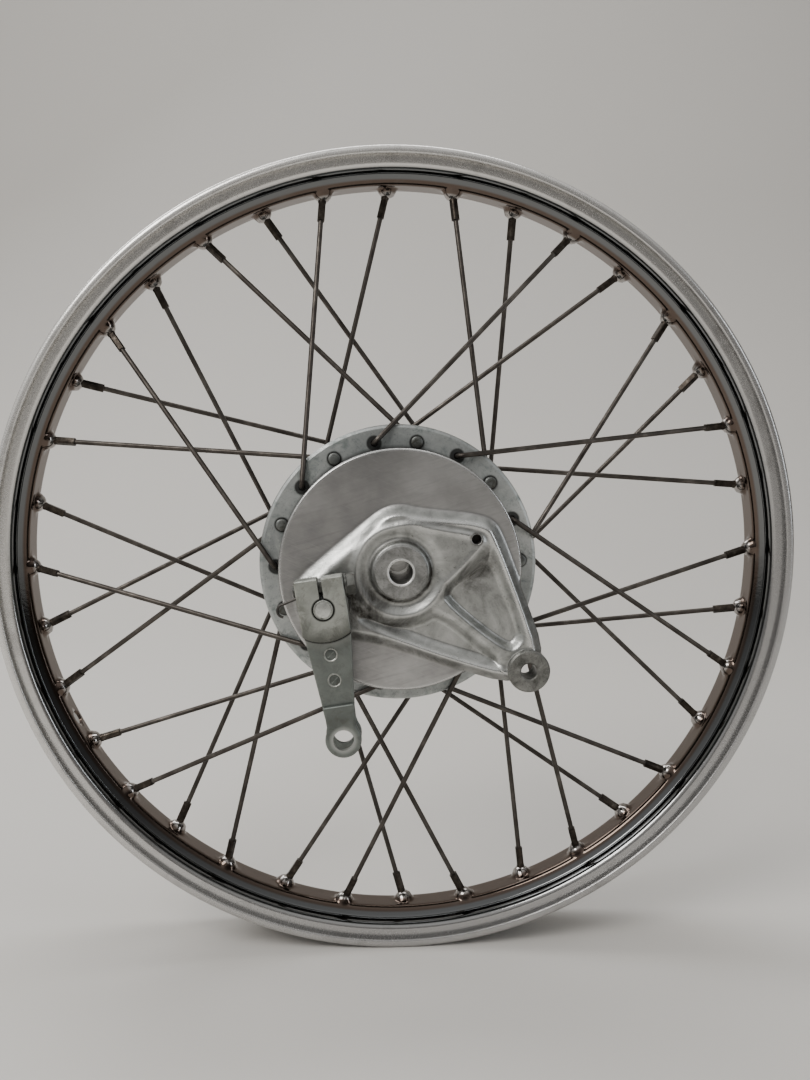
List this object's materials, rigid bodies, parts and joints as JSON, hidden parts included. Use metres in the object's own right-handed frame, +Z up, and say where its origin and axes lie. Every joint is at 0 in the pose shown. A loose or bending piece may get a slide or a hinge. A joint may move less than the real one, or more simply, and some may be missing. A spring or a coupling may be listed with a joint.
{
  "type": "spoked motorcycle wheel",
  "caption": "Laced rear wheel of a small motorcycle with a chromed rim, cast drum-brake hub, brake panel with torque arm, and brake lever; no tyre or axle.",
  "frame": {"origin": "wheel centre: the point of the axle line in the rim's middle plane", "axes": "+Y along the axle away from the brake side, +Z up"},
  "size_m": [0.453, 0.1462, 0.453],
  "materials": {
    "rim_chrome": "polished chrome plating",
    "spoke_steel": "dull oxidised steel",
    "nipple_steel": "dark rusty plated steel",
    "hub_cast": "oxidised cast aluminium",
    "panel_cast": "brushed and cast aluminium",
    "liner_iron": "machined cast iron",
    "bearing_steel": "ground steel",
    "collar_steel": "turned steel",
    "rubber_black": "black rubber",
    "lever_zinc": "aged zinc plating",
    "bolt_zinc": "aged zinc plating",
    "shoe_cast": "cast aluminium",
    "lining": "friction material",
    "spring_steel": "spring steel"
  },
  "bodies": {
    "panel_assembly": {"brake_panel": "panel_cast", "brake_collar": "collar_steel", "bearing_brake_inner": "bearing_steel", "distance_tube": "collar_steel", "bearing_chain_inner": "bearing_steel", "chain_collar": "collar_steel", "anchor_pin": "collar_steel", "anchor_washer": "collar_steel", "cam_seal": "rubber_black", "shoe_spring_anchor_end": "spring_steel", "shoe_spring_cam_end": "spring_steel", "cam_return_spring": "spring_steel"},
    "brake_cam": {"brake_camshaft": "collar_steel", "brake_lever": "lever_zinc", "lever_fork_plate": "lever_zinc", "lever_rivets": "lever_zinc", "clamp_bolt": "bolt_zinc", "clamp_washer": "bolt_zinc"},
    "upper_shoe": {"shoe_upper": "shoe_cast", "lining_upper": "lining"},
    "lower_shoe": {"shoe_lower": "shoe_cast", "lining_lower": "lining"},
    "wheel": {"rim": "rim_chrome", "spokes_brake_elbow_out": "spoke_steel", "spokes_brake_head_out": "spoke_steel", "spokes_chain_head_out": "spoke_steel", "spokes_chain_elbow_out": "spoke_steel", "nipples_brake": "nipple_steel", "nipples_chain": "nipple_steel", "hub": "hub_cast", "drum_liner": "liner_iron", "cush_rubbers": "rubber_black", "cush_sleeves": "collar_steel", "bearing_brake_outer": "bearing_steel", "bearing_brake_balls": "bearing_steel", "bearing_chain_outer": "bearing_steel", "bearing_chain_balls": "bearing_steel", "chain_seal": "rubber_black"}
  },
  "joints": [
    {"name": "wheel_spin", "type": "hinge", "parent": "panel_assembly", "child": "wheel", "pos_m": [0, 0, 0], "axis": [0, 1, 0], "continuous": true},
    {"name": "brake_cam_turn", "type": "hinge", "parent": "panel_assembly", "child": "brake_cam", "pos_m": [-0.03877, 0, -0.01614], "axis": [0, 1, 0], "range_deg": [0, 15], "stiffness_Nm_per_rad": 1.5, "springref_deg": -17.19},
    {"name": "upper_shoe_pivot", "type": "hinge", "parent": "panel_assembly", "child": "upper_shoe", "pos_m": [0.03877, 0, 0.01614], "axis": [0, 1, 0], "range_deg": [0, 0.95]},
    {"name": "lower_shoe_pivot", "type": "hinge", "parent": "panel_assembly", "child": "lower_shoe", "pos_m": [0.03877, 0, 0.01614], "axis": [0, -1, 0], "range_deg": [0, 0.95]}
  ],
  "couplings": [
    {"joint": "upper_shoe_pivot", "follows": "brake_cam_turn", "ratio": 0.062},
    {"joint": "lower_shoe_pivot", "follows": "brake_cam_turn", "ratio": 0.062}
  ]
}
